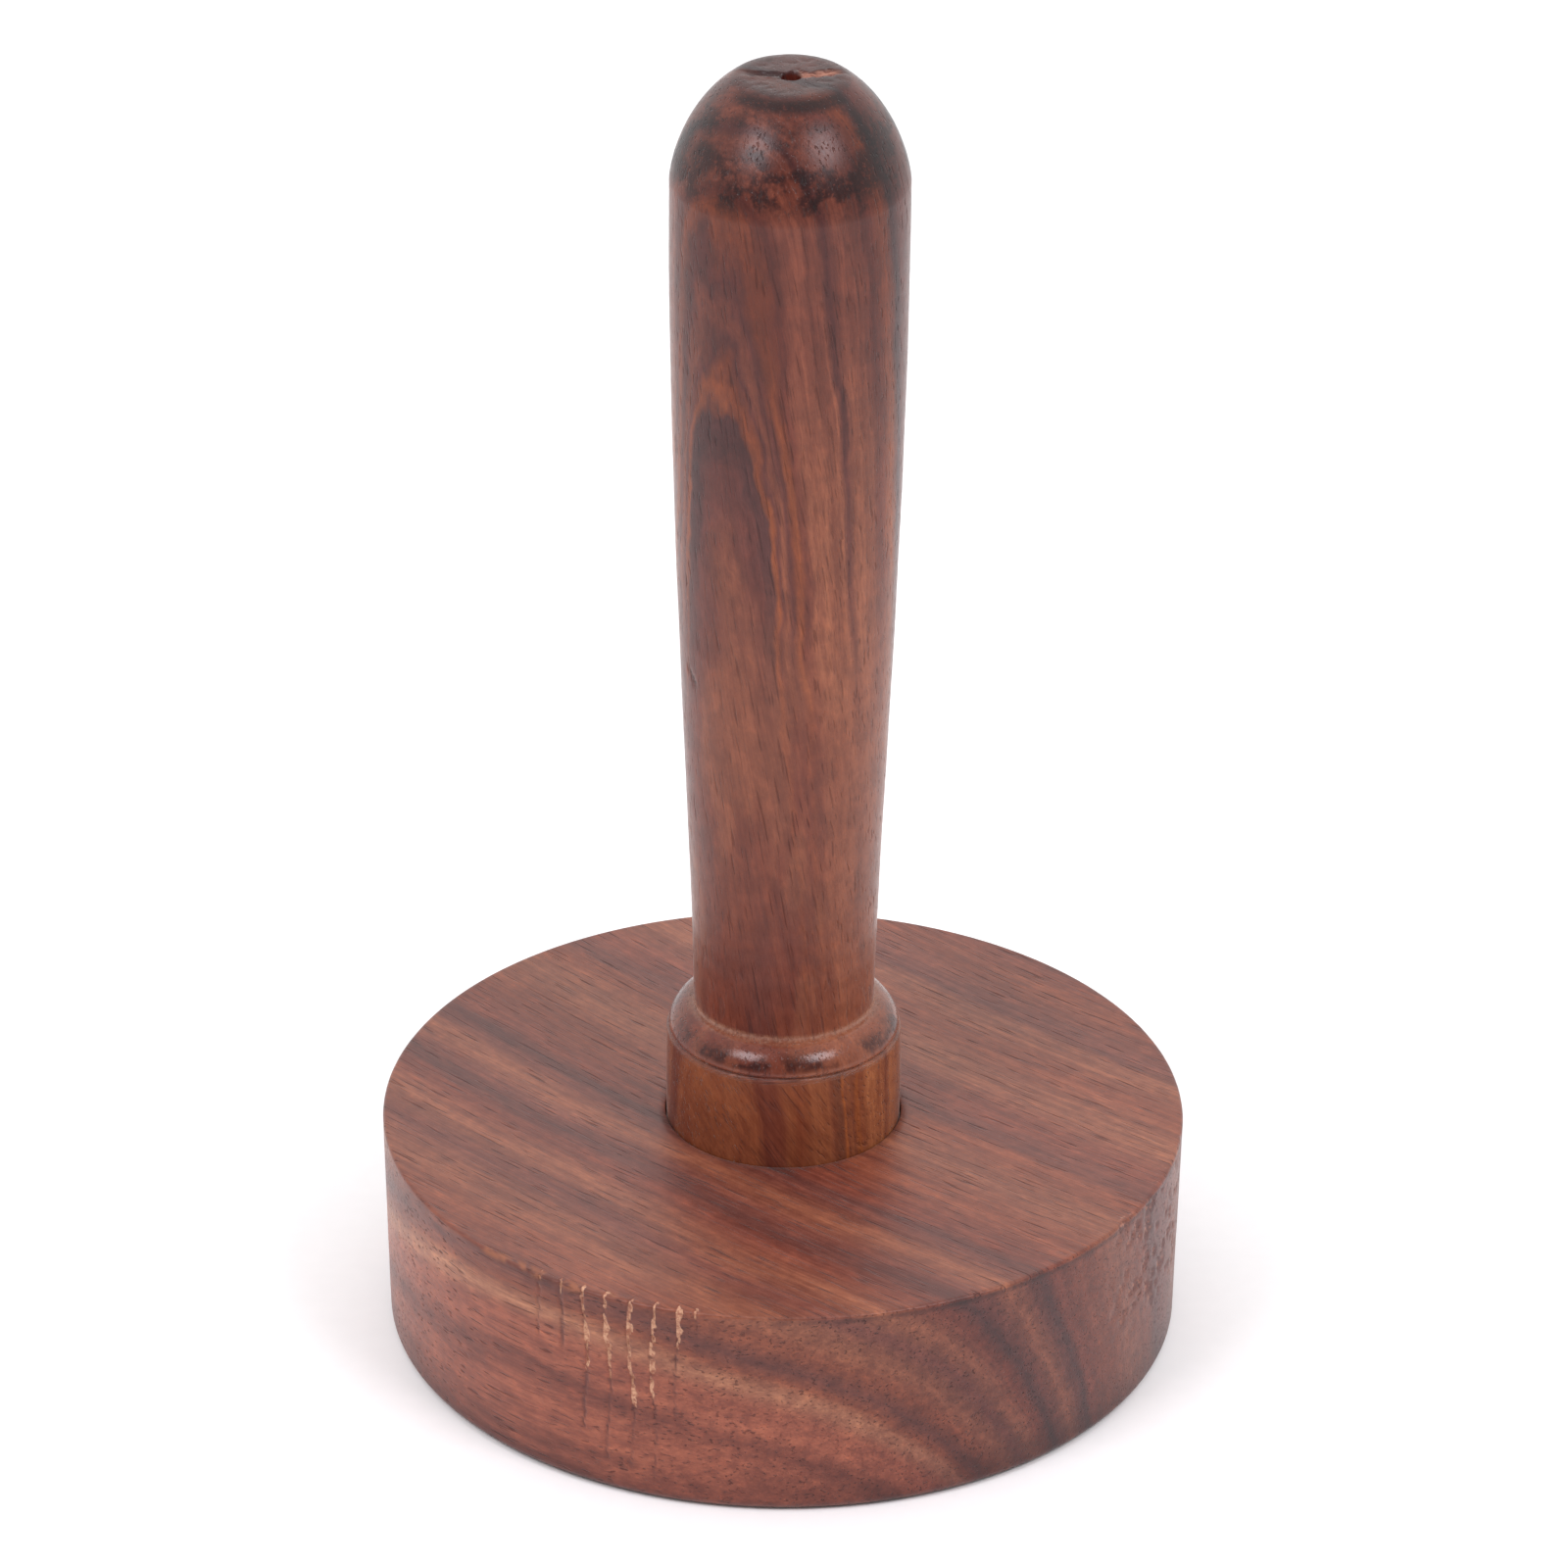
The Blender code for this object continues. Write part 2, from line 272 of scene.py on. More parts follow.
def head_outline():
    """The section of the head: socket, top, side, underside, counterbore and screw hole, as a ring."""
    top, bottom = HEAD_THICKNESS, 0.0
    ease, turn = HEAD_TOP_EASE, HEAD_BOTTOM_ROUND
    points = walk(
        [
            (SHANK_HOLE_RADIUS, SOCKET_FLOOR_Z),
            (SOCKET_RADIUS, SOCKET_FLOOR_Z),
            (SOCKET_RADIUS, top - SOCKET_CHAMFER),
            (SOCKET_RADIUS + SOCKET_CHAMFER, top),
        ],
        2.0,
    )
    points += walk([(SOCKET_RADIUS + SOCKET_CHAMFER, top), (HEAD_RADIUS - 3.0, top)], 1.1)[1:]
    points += walk([(HEAD_RADIUS - 3.0, top), (HEAD_RADIUS - ease, top)], 0.35)[1:]
    points += arc((HEAD_RADIUS - ease, top - ease), ease, 90, 0, 4)[1:]
    side = [(HEAD_RADIUS, top - ease), (HEAD_BOTTOM_RADIUS, turn)]
    points += walk(side, 0.42)[1:]
    points += arc((HEAD_BOTTOM_RADIUS - turn, turn), turn, 0, -90, 6)[1:]
    points += walk([(HEAD_BOTTOM_RADIUS - turn, bottom), (COUNTERBORE_RADIUS, bottom)], 1.8)[1:]
    points += walk(
        [
            (COUNTERBORE_RADIUS, bottom),
            (COUNTERBORE_RADIUS, COUNTERBORE_TOP_Z),
            (SHANK_HOLE_RADIUS, COUNTERBORE_TOP_Z),
            (SHANK_HOLE_RADIUS, SOCKET_FLOOR_Z),
        ],
        2.0,
    )[1:]
    return points


def shape_head(radius, angle, height):
    """Saw tear-outs, a chipped front-left rim, pits on the right and a slightly uneven side."""
    degrees = signed_degrees(angle)
    outer = soft_step(radius, HEAD_RADIUS - 1.6, HEAD_RADIUS - 0.5)
    side = outer * soft_step(height, 0.4, 1.5)
    on_top = (height > HEAD_THICKNESS - 0.01) & (radius < HEAD_RADIUS - 0.2)
    jitter = rough(angle, height, radius, 0.8, SEED_HEAD_JITTER)
    ragged = rough(angle, height, radius, 2.6, SEED_HEAD_RAGGED)
    torn = np.zeros_like(radius)
    cut = np.zeros_like(radius)
    for k, (at, torn_end, torn_width, cut_end, cut_width) in enumerate(TEAR_OUTS):
        centre = at + 0.35 * np.sin(height * 0.31 + k) + 0.4 * jitter
        away = np.abs(degrees - centre) * math.radians(HEAD_RADIUS)
        wide = torn_width * (0.8 + 1.2 * ragged + 0.8 * jitter)
        wide = np.maximum(wide, 0.12)
        body = 1.0 - soft_step(away, 0.25 * wide, 0.75 * wide)
        body *= soft_step(height + 2.0 * jitter, torn_end - 0.5, torn_end + 0.7)
        torn = np.maximum(torn, body)
        line = 1.0 - soft_step(away, 0.2 * cut_width, 0.9 * cut_width)
        line *= soft_step(height, cut_end - 0.5, cut_end + 0.5) * (0.55 + 0.9 * np.clip(0.3 - ragged, 0, 0.5))
        cut = np.maximum(cut, line)
    torn *= side
    cut *= side * (1.0 - 0.9 * torn)
    rim_span = soft_span(degrees, *RIM_CHIP_SPAN)
    rim = rim_span * soft_step(radius, HEAD_RADIUS - 1.5, HEAD_RADIUS - 0.3)
    rim *= soft_step(height, HEAD_THICKNESS - 1.1, HEAD_THICKNESS - 0.2)
    chip = rim * soft_step(ragged + 0.5 * jitter, -0.05, 0.35)
    pit_zone = soft_span(degrees, *PIT_SPAN) * soft_step(height, *PIT_HEIGHTS)
    pit_noise = rough(angle, height * 0.35, radius, 0.62, SEED_HEAD_PITS)
    pits = pit_zone * side * soft_step(pit_noise, 0.22, 0.38)
    radius = radius - torn * TEAR_DEPTH * (0.7 + jitter) - cut * TEAR_CUT_DEPTH
    radius = radius - chip * RIM_CHIP_DEPTH - pits * PIT_DEPTH
    side_wave = HEAD_SIDE_WAVE * lumps(angle, height, SEED_HEAD_SIDE) + HEAD_SIDE_ROUGH * ragged
    radius = radius + side * side_wave
    height = height - chip * RIM_CHIP_DROP
    height = height + np.where(on_top, HEAD_TOP_WAVE * lumps(angle, radius, SEED_HEAD_TOP), 0.0)
    height = np.minimum(height, HEAD_THICKNESS + HEAD_TOP_LIMIT)
    return radius, height, {"torn": torn, "cut": cut, "chip": chip, "pits": pits}


def make_head():
    angles = turn_between(TEAR_FINE_RANGE, TEAR_FINE_STEP, HEAD_ANGLE_STEP)
    return lathe("head_disc_turned", head_outline(), angles, shape_head)


# ---------------------------------------------------------------- handle


def grip_radius(height):
    """The handle's radius at a height between the neck and the top of the grip."""
    share = min(1.0, max(0.0, (height - NECK_Z) / (GRIP_FULL_Z - NECK_Z)))
    swell = math.sin(0.5 * math.pi * share) ** GRIP_SWELL_POWER
    return NECK_RADIUS + (GRIP_RADIUS - NECK_RADIUS) * swell


def bead_outline(steps):
    """The rounded shoulder over the groove, a superellipse from its foot to its top."""
    base = GROOVE_Z + GROOVE_WIDTH / 2
    wide, tall = BEAD_BASE_RADIUS - BEAD_TOP_RADIUS, BEAD_TOP_Z - base
    out = []
    for a in np.linspace(0.0, 0.5 * math.pi, steps + 1):
        across = abs(math.cos(a)) ** (2.0 / BEAD_FULLNESS)
        up = abs(math.sin(a)) ** (2.0 / BEAD_FULLNESS)
        out.append((BEAD_TOP_RADIUS + wide * across, base + tall * up))
    return out


def handle_outline():
    """The section of the handle, from the top of its screw hole round to the bottom of the centre hole."""
    foot_low = FOOT_RADIUS - FOOT_SWELL
    points = walk(
        [
            (0.0, PILOT_HOLE_TOP_Z),
            (PILOT_HOLE_RADIUS, PILOT_HOLE_TOP_Z),
            (PILOT_HOLE_RADIUS, FOOT_Z),
            (FOOT_RADIUS - FOOT_CHAMFER, FOOT_Z),
            (FOOT_RADIUS, FOOT_Z + FOOT_CHAMFER),
            (FOOT_RADIUS, HEAD_THICKNESS - 2.0),
        ],
        3.0,
    )
    groove_low = GROOVE_Z - GROOVE_WIDTH / 2
    foot = []
    for z in np.arange(HEAD_THICKNESS - 1.6, groove_low, 0.45):
        share = (z - HEAD_THICKNESS) / (groove_low - HEAD_THICKNESS)
        swell = math.sin(math.pi * min(1.0, max(0.0, share)))
        foot.append((FOOT_RADIUS - FOOT_SWELL * (1.0 - swell) * 0.5, float(z)))
    points += foot
    points += [
        (foot_low + 0.06, groove_low),
        (foot_low - 0.05, GROOVE_Z - 0.1),
        (BEAD_BASE_RADIUS - GROOVE_DEPTH, GROOVE_Z),
        (BEAD_BASE_RADIUS - 0.05, GROOVE_Z + 0.15),
    ]
    points += bead_outline(22)
    points += [(NECK_RADIUS + 0.12, BEAD_TOP_Z + 0.05), (NECK_RADIUS, NECK_Z)]
    for z in np.arange(NECK_Z + 0.35, GRIP_TOP_Z, 0.5):
        points.append((grip_radius(float(z)), float(z)))
    points += bezier(DOME_CURVE, 36)
    flat_start = (5.6, HANDLE_TOP_Z)
    points += [(6.4, HANDLE_TOP_Z - 0.08), flat_start]
    points += walk([flat_start, (CENTRE_HOLE_RADIUS + 0.15, HANDLE_TOP_Z)], 0.3)[1:]
    points += walk(
        [
            (CENTRE_HOLE_RADIUS, HANDLE_TOP_Z - 0.25),
            (CENTRE_HOLE_RADIUS * 0.8, HANDLE_TOP_Z - CENTRE_HOLE_DEPTH + 0.5),
            (0.0, HANDLE_TOP_Z - CENTRE_HOLE_DEPTH),
        ],
        0.4,
    )
    return points


def shape_handle(radius, angle, height):
    """Turning ripples, the torn chip and the crack beside the centre hole, and one scratch on the left."""
    degrees = signed_degrees(angle)
    outside = soft_step(radius, 4.0, 9.0) * soft_step(height, HEAD_THICKNESS, HEAD_THICKNESS + 2)
    grip = outside * soft_step(height, NECK_Z, NECK_Z + 3) * (1.0 - soft_step(height, 160, 165))
    ripple = np.sin(height * 1.9 + 2.0 * np.sin(height * 0.21)) * GRIP_RIPPLE
    radius = radius + grip * (GRIP_WAVE * lumps(angle, height, SEED_GRIP) + ripple)
    on_flat = (height > HANDLE_TOP_Z - 0.3) & (radius < FLAT_EDGE_RADIUS)
    x, y = radius * np.sin(angle), -radius * np.cos(angle)
    ragged = rough(angle, height, radius, 0.9, SEED_HANDLE_FLAT)
    chip_y = 0.45 + 0.12 * x + 0.5 * ragged
    chip_half = 1.15 - 0.09 * x + 0.9 * ragged
    chip = soft_step(x, 0.6, 1.6) * (1.0 - soft_step(x + 1.8 * ragged, 4.6, 6.2))
    chip *= 1.0 - soft_step(np.abs(y - chip_y), chip_half - 0.3, chip_half + 0.3)
    fibres = np.sin(7.0 * y + 1.5 * ragged)
    chip = np.where(on_flat, chip, 0.0)
    crack_away = np.abs(y - 0.25 + 0.08 * x - 0.5 * ragged)
    crack = (1.0 - soft_step(crack_away, 0.25, 0.75)) * soft_step(-x, 0.8, 1.4)
    crack = np.where(on_flat, crack * (1.0 - soft_step(-x, 4.8, 6.0)), 0.0)
    chip_depth = FLAT_CHIP_DEPTH + 0.3 * ragged + 0.08 * fibres
    height = height - chip * chip_depth - crack * FLAT_CRACK_DEPTH
    height = np.where(on_flat, height - FLAT_WEAR_DEPTH * soft_step(ragged, 0.0, 0.5), height)
    around = degrees - SCRATCH_ANGLE
    scratch = 1.0 - soft_step(np.abs((height - SCRATCH_HEIGHT) + around * SCRATCH_SLOPE), 0.15, 0.6)
    scratch *= 1.0 - soft_step(np.abs(around), 3.0, 6.0)
    scratch = scratch * grip
    radius = radius - scratch * SCRATCH_DEPTH
    return radius, height, {"chip": chip, "cut": np.maximum(crack, scratch)}


def make_handle():
    angles = np.linspace(0.0, 2 * math.pi, HANDLE_COLUMNS, endpoint=False)
    return lathe("handle_turned", handle_outline(), angles, shape_handle)


# ---------------------------------------------------------------- plug


def plug_outline():
    """The section of the plug, from its visible face to its hidden one."""
    c = PLUG_CHAMFER
    return walk([(0.0, 0.05), (PLUG_RADIUS - c, 0.02), (PLUG_RADIUS, c)], 0.4) + walk(
        [
            (PLUG_RADIUS, c + 0.4),
            (PLUG_RADIUS, PLUG_THICKNESS - c),
            (PLUG_RADIUS - c, PLUG_THICKNESS),
            (0.0, PLUG_THICKNESS),
        ],
        0.8,
    )


def shape_plug(radius, angle, height):
    """Sanded flush, with faint steps left across its face."""
    low = height < 0.3
    ragged = rough(angle, height, radius, 1.3, SEED_PLUG)
    steps = 0.03 * np.sin(radius * np.sin(angle) * 3.1)
    height = np.where(low, height + 0.06 + np.abs(steps) + 0.04 * ragged, height)
    return radius, height, {"cut": np.where(low, soft_step(ragged, 0.1, 0.5), 0.0)}


def make_plug():
    angles = np.linspace(0.0, 2 * math.pi, PLUG_COLUMNS, endpoint=False)
    return lathe("screw_plug_sanded", plug_outline(), angles, shape_plug)


# ---------------------------------------------------------------- material building blocks


class Nodes:
    """Short calls that add the nodes of one material and join them."""

    def __init__(self, name):
        self.material = bpy.data.materials.new(name)
        self.material.use_nodes = True
        self.tree = self.material.node_tree
        self.tree.nodes.clear()

    def add(self, kind, **settings):
        """A new node with the given settings."""
        node = self.tree.nodes.new(kind)
        for key, value in settings.items():
            setattr(node, key, value)
        return node

    def put(self, socket, value):
        """A link from another node's output, or a fixed value."""
        if hasattr(value, "links"):
            self.tree.links.new(value, socket)
        elif value is not None:
            socket.default_value = value

    def math(self, operation, a, b=None, c=None, clamp=False):
        node = self.add("ShaderNodeMath", operation=operation, use_clamp=clamp)
        for socket, value in zip(node.inputs, (a, b, c)):
            self.put(socket, value)
        return node.outputs[0]

    def vector(self, operation, a, b=None):
        node = self.add("ShaderNodeVectorMath", operation=operation)
        self.put(node.inputs[0], a)
        self.put(node.inputs[1], b)
        scalar = operation in ("DOT_PRODUCT", "LENGTH", "DISTANCE")
        return node.outputs["Value" if scalar else "Vector"]

    def join(self, x, y, z):
        node = self.add("ShaderNodeCombineXYZ")
        for socket, value in zip(node.inputs, (x, y, z)):
            self.put(socket, value)
        return node.outputs[0]

    def parts(self, vector):
        node = self.add("ShaderNodeSeparateXYZ")
        self.put(node.inputs[0], vector)
        return node.outputs

    def step(self, value, low, high, to_low=0.0, to_high=1.0):
        """to_low up to low and to_high from high on, with a smooth change between."""
        node = self.add("ShaderNodeMapRange", interpolation_type="SMOOTHSTEP")
        for socket, v in zip(node.inputs, (value, low, high, to_low, to_high)):
            self.put(socket, v)
        return node.outputs[0]

    def noise(self, vector, scale=1.0, detail=2.0, roughness=0.5, distortion=0.0):
        node = self.add("ShaderNodeTexNoise")
        self.put(node.inputs["Vector"], vector)
        self.put(node.inputs["Scale"], scale)
        self.put(node.inputs["Detail"], detail)
        self.put(node.inputs["Roughness"], roughness)
        self.put(node.inputs["Distortion"], distortion)
        return node

    def ramp(self, value, stops, interpolation="EASE"):
        node = self.add("ShaderNodeValToRGB")
        self.put(node.inputs[0], value)
        ramp = node.color_ramp
        ramp.interpolation = interpolation
        while len(ramp.elements) > 1:
            ramp.elements.remove(ramp.elements[-1])
        for k, (place, colour) in enumerate(stops):
            element = ramp.elements[0] if k == 0 else ramp.elements.new(place)
            element.position = place
            element.color = (*colour, 1.0)
        return node.outputs[0]

    def mix(self, share, a, b, blend="MIX"):
        node = self.add("ShaderNodeMix", data_type="RGBA", blend_type=blend)
        self.put(node.inputs["Factor"], share)
        sockets = [s for s in node.inputs if s.type == "RGBA"]
        for socket, value in zip(sockets, (a, b)):
            self.put(socket, (*value, 1.0) if isinstance(value, tuple) and len(value) == 3 else value)
        return [s for s in node.outputs if s.type == "RGBA"][0]

    def stored(self, name):
        """A value that the mesh stores at each point."""
        return self.add("ShaderNodeAttribute", attribute_name=name).outputs["Fac"]

    def place(self):
        """The point's place on the object, in millimetres."""
        node = self.add("ShaderNodeTexCoord")
        scaled = self.add("ShaderNodeVectorMath", operation="SCALE")
        self.put(scaled.inputs[0], node.outputs["Object"])
        scaled.inputs["Scale"].default_value = 1.0 / MM
        return scaled.outputs[0]

    def finish(self, colour, roughness, height, bump, **fixed):
        """The shader, its bump and the fixed values that go on its own sockets."""
        shader = self.add("ShaderNodeBsdfPrincipled")
        self.put(shader.inputs["Base Color"], colour)
        self.put(shader.inputs["Roughness"], roughness)
        for key, value in fixed.items():
            shader.inputs[key.replace("_", " ")].default_value = value
        relief = self.add("ShaderNodeBump")
        relief.inputs["Strength"].default_value = 1.0
        relief.inputs["Distance"].default_value = bump
        self.put(relief.inputs["Height"], height)
        self.put(shader.inputs["Normal"], relief.outputs[0])
        out = self.add("ShaderNodeOutputMaterial")
        self.tree.links.new(shader.outputs[0], out.inputs["Surface"])
        return self.material


def rings(n, distance, stops, low, high):
    """Ring colours along a distance in millimetres. The stops lie between low and high."""
    share = n.math("DIVIDE", n.math("SUBTRACT", distance, low), high - low)
    return n.ramp(share, [((at - low) / (high - low), colour) for at, colour in stops])


def tinted(n, share, colour, tint):
    """The colour multiplied by a tint, by the given share."""
    return n.mix(share, colour, n.mix(1.0, colour, tint, "MULTIPLY"))


def band(n, value, rise, fall, after=0.0):
    """0 before the rise, 1 between it and the fall, and `after` beyond. Each is a (start, end) pair."""
    return n.math("MULTIPLY", n.step(value, *rise), n.step(value, *fall, 1.0, after))


def scaled_noise(n, place, scales, detail, roughness, output=0):
    """Noise at a point whose coordinates are scaled first, in cycles per millimetre."""
    return n.noise(n.vector("MULTIPLY", place, scales), 1.0, detail, roughness).outputs[output]


def wandering(n, place, scales, detail, roughness, reach):
    """A smooth shift that varies from point to point, up to about half of reach on each axis."""
    wander = scaled_noise(n, place, scales, detail, roughness, "Color")
    return n.vector("MULTIPLY", n.vector("SUBTRACT", wander, (0.5, 0.5, 0.5)), reach)


def grain_noise(n, at, layer, detail, roughness):
    """Noise drawn out along the grain. at holds the distances along, across and into the grain."""
    stretch, width = layer
    scales = (stretch, width, width)
    point = n.join(*(n.math("MULTIPLY", value, scale) for value, scale in zip(at, scales)))
    return n.noise(point, 1.0, detail, roughness).outputs[0]


# Layers of wood texture: cycles per millimetre along the grain and across it
FIBRE_LAYER = (0.16, 3.6)
STREAK_LAYER = (0.035, 0.95)
FIGURE_LAYER = (0.10, 0.22)
CLOUD_LAYER = (0.45, 0.75)
PORE_LAYER = (0.16, 3.0)

# How far pores sink against the height of the fibres, and what pores and torn wood add to the roughness
PORE_SINK = 0.6
PORE_ROUGHNESS = 0.22
TORN_ROUGHNESS = 0.3


def wood_surface(n, at, base, contrast=1.0, pore_depth=0.75):
    """Fibres, pores and mottling on top of the ring colours, for one piece of wood.
    at holds the distances along, across and into the grain."""
    fibre = grain_noise(n, at, FIBRE_LAYER, 4.0, 0.6)
    streak = grain_noise(n, at, STREAK_LAYER, 4.0, 0.6)
    figure = grain_noise(n, at, FIGURE_LAYER, 3.0, 0.55)
    cloud = grain_noise(n, at, CLOUD_LAYER, 5.0, 0.7)
    pore_noise = grain_noise(n, at, PORE_LAYER, 1.0, 0.4)
    pores = n.math("MULTIPLY", n.step(pore_noise, 0.61, 0.70), n.step(figure, 0.36, 0.60, 0.45, 1.0))
    colour = tinted(n, n.step(streak, 0.36, 0.66, 0.0, 0.55 * contrast), base, (0.58, 0.47, 0.50))
    colour = tinted(n, n.step(fibre, 0.34, 0.66, 0.5 * contrast, 0.0), colour, (0.66, 0.56, 0.56))
    colour = tinted(n, n.step(fibre, 0.55, 0.75, 0.0, 0.30 * contrast), colour, (1.35, 1.45, 1.45))
    colour = tinted(n, n.step(figure, 0.30, 0.70, 0.5 * contrast, 0.0), colour, (0.70, 0.62, 0.66))
    colour = tinted(n, n.step(cloud, 0.34, 0.62, 0.55 * contrast, 0.0), colour, (0.64, 0.54, 0.58))
    colour = tinted(n, n.step(cloud, 0.56, 0.70, 0.0, 0.35 * contrast), colour, (1.5, 1.35, 1.2))
    colour = tinted(n, n.math("MULTIPLY", pores, pore_depth), colour, (0.34, 0.24, 0.26))
    return colour, fibre, pores


def wood_relief(n, fibre, pores, fibre_height):
    """The height that the bump follows: raised fibres and sunk pores."""
    return n.math("SUBTRACT", n.math("MULTIPLY", fibre, fibre_height), n.math("MULTIPLY", pores, PORE_SINK))


# ---------------------------------------------------------------- wood of the head


# The board's grain runs along this heading, and its streaks turn slightly from the left to the right.
HEAD_GRAIN_HEADING = math.radians(-40.0)
HEAD_GRAIN_TURN = (0.00094, -0.025)
# The rings' centre line, as a distance across the grain and a depth under the board.
HEAD_RING_ACROSS = 40.6
HEAD_RING_BELOW = 90.0
HEAD_RING_FLATTEN = 0.28
HEAD_RING_BEND_ACROSS = 0.0048
HEAD_RING_BEND_UP = 0.0028
HEAD_RING_RANGE = (24.0, 96.0)
HEAD_WANDER = ((0.035, 0.035, 0.06), (3.0, 3.0, 3.0))
HEAD_TOP_COLOUR = (0.262, 0.076, 0.038)
HEAD_BUMP = 0.12 * MM


def head_ring_colours():
    """The ring colours of the board, by distance from the rings' centre line."""
    pale = (0.520, 0.235, 0.120)
    glow = (0.405, 0.122, 0.062)
    tan = (0.345, 0.125, 0.060)
    orange = (0.290, 0.080, 0.035)
    red = (0.245, 0.063, 0.034)
    brown = (0.190, 0.056, 0.037)
    dark = (0.108, 0.034, 0.029)
    return [
        (24.5, brown), (26.8, red), (27.8, glow), (29.4, glow), (30.3, red), (31.0, glow), (31.9, glow),
        (32.7, pale), (33.3, orange), (33.8, brown), (34.6, orange), (35.6, tan), (36.6, brown), (37.4, tan),
        (38.7, red), (39.4, dark), (40.0, brown), (41.3, tan), (42.6, brown), (43.3, dark), (44.0, red),
        (47.0, orange), (51.0, tan), (55.0, orange), (57.0, brown), (60.0, red), (66.0, tan), (72.0, orange),
        (78.0, tan), (81.0, brown), (90.0, orange), (95.0, red),
    ]


def grain_places(n, place):
    """How far a point lies along the head's grain and across it, with the slow turn of the streaks."""
    grain = (math.cos(HEAD_GRAIN_HEADING), math.sin(HEAD_GRAIN_HEADING), 0.0)
    side = (grain[1], -grain[0], 0.0)
    along = n.vector("DOT_PRODUCT", place, grain)
    across = n.vector("DOT_PRODUCT", place, side)
    turned = n.math("MULTIPLY", along, n.math("MULTIPLY_ADD", along, *HEAD_GRAIN_TURN))
    return along, n.math("ADD", across, turned)


def head_rings(n, place):
    """The board's ring colours: straight bands on top, and nested arches on the side."""
    scales, reach = HEAD_WANDER
    bent = n.vector("ADD", place, wandering(n, place, scales, 2.0, 0.5, reach))
    along, across = grain_places(n, bent)
    z = n.parts(bent)[2]
    depth = n.math("SUBTRACT", HEAD_BOTTOM_RADIUS**2, n.math("MULTIPLY", across, across))
    level = n.math("MULTIPLY", n.math("ADD", z, HEAD_RING_BELOW), HEAD_RING_FLATTEN)
    off = n.math("MULTIPLY_ADD", depth, HEAD_RING_BEND_ACROSS, n.math("SUBTRACT", across, HEAD_RING_ACROSS))
    rise = n.math("MULTIPLY_ADD", depth, HEAD_RING_BEND_UP, level)
    ring = n.math("SQRT", n.math("ADD", n.math("MULTIPLY", off, off), n.math("MULTIPLY", rise, rise)))
    base = rings(n, ring, head_ring_colours(), *HEAD_RING_RANGE)
    fine_at = n.join(n.math("MULTIPLY", ring, 1.3), n.math("MULTIPLY", along, 0.02), 0.0)
    fine_ring = n.noise(fine_at, 1.0, 4.0, 0.62).outputs[0]
    return tinted(n, n.step(fine_ring, 0.36, 0.66, 0.6, 0.0), base, (0.60, 0.50, 0.52))


def head_painted_shade(n, colour, x, z):
    """Painted shade: darker low on the side towards the floor, over the right of the side and in a thin line
    just under the right of the rim.
    """
    colour = tinted(n, n.step(z, 0.0, 8.5, 0.85, 0.0), colour, (0.50, 0.40, 0.44))
    right_side_shade = n.math("MULTIPLY", n.step(x, 6.0, 26.0), n.step(z, 27.3, 27.7, 1.0, 0.0))
    colour = tinted(n, right_side_shade, colour, (0.76, 0.68, 0.76))
    under_rim_shade = n.math("MULTIPLY", band(n, z, (26.7, 27.2), (27.4, 27.7)), n.step(x, -8.0, 12.0, 0.0, 0.7))
    return tinted(n, under_rim_shade, colour, (0.5, 0.4, 0.4))


def head_wood():
    """Reddish-brown board whose grain runs from the back left to the front right, with saw marks, painted
    shade in their thin cuts and painted shade low on the side.
    """
    n = Nodes("head_wood_grain")
    place = n.place()
    x, _, z = n.parts(place)[:3]
    base = n.mix(n.step(z, 27.4, 27.9, 0.0, 0.22), head_rings(n, place), HEAD_TOP_COLOUR)
    along, across = grain_places(n, place)
    colour, fibre, pores = wood_surface(n, (along, across, z), base, 1.12)
    # Painted shade low on the side, over its right and just under the right of the rim.
    colour = head_painted_shade(n, colour, x, z)
    torn, cut, chip, pits = (n.stored(k) for k in ("torn", "cut", "chip", "pits"))
    ragged = n.noise(place, 1.6, 4.0, 0.7).outputs[0]
    fresh = n.mix(n.step(ragged, 0.35, 0.65), (0.32, 0.12, 0.07), (0.70, 0.40, 0.25))
    pitted = n.mix(n.step(ragged, 0.5, 0.62), (0.10, 0.028, 0.022), (0.40, 0.17, 0.11))
    colour = n.mix(n.step(torn, 0.25, 0.7, 0.0, 0.85), colour, fresh)
    # Painted shade: the thin saw cuts are drawn near-black, as shadow inside the narrow slits.
    colour = n.mix(n.math("MULTIPLY", cut, 0.75), colour, (0.085, 0.022, 0.018))
    colour = n.mix(n.math("MULTIPLY", chip, 0.55), colour, (0.36, 0.14, 0.072))
    colour = n.mix(n.math("MULTIPLY", pits, 0.8), colour, pitted)
    broken = n.math("MULTIPLY", n.math("MAXIMUM", torn, chip), TORN_ROUGHNESS)
    open_pores = n.math("MULTIPLY", pores, PORE_ROUGHNESS)
    rough_value = n.math("ADD", n.step(fibre, 0.3, 0.7, 0.36, 0.46), open_pores)
    rough_value = n.math("ADD", rough_value, broken, clamp=True)
    torn_height = n.math("MULTIPLY", n.math("MULTIPLY", torn, ragged), 0.9)
    height = n.math("ADD", wood_relief(n, fibre, pores, 0.28), torn_height)
    gloss = {"IOR": 1.47, "Sheen_Weight": 0.10, "Sheen_Roughness": 0.35}
    return n.finish(colour, rough_value, height, HEAD_BUMP, **gloss)


# ---------------------------------------------------------------- wood of the handle


# The arches on the handle face this way, and rise this much for each millimetre of depth.
ARCH_HEADING = math.radians(-35.0)
ARCH_STEEPNESS = 11.84
ARCH_RANGE = (0.0, 500.0)
HANDLE_WANDER = ((0.07, 0.07, 0.035), (3.4, 3.4, 10.0))
HANDLE_SHAKE = ((0.28, 0.28, 0.12), (1.3, 1.3, 4.0))
HANDLE_BUMP = 0.08 * MM

# The fibres lean to the right as they go down, and more in the collar under the bead.
HANDLE_LEAN = 0.17
COLLAR_EXTRA_LEAN = 0.45

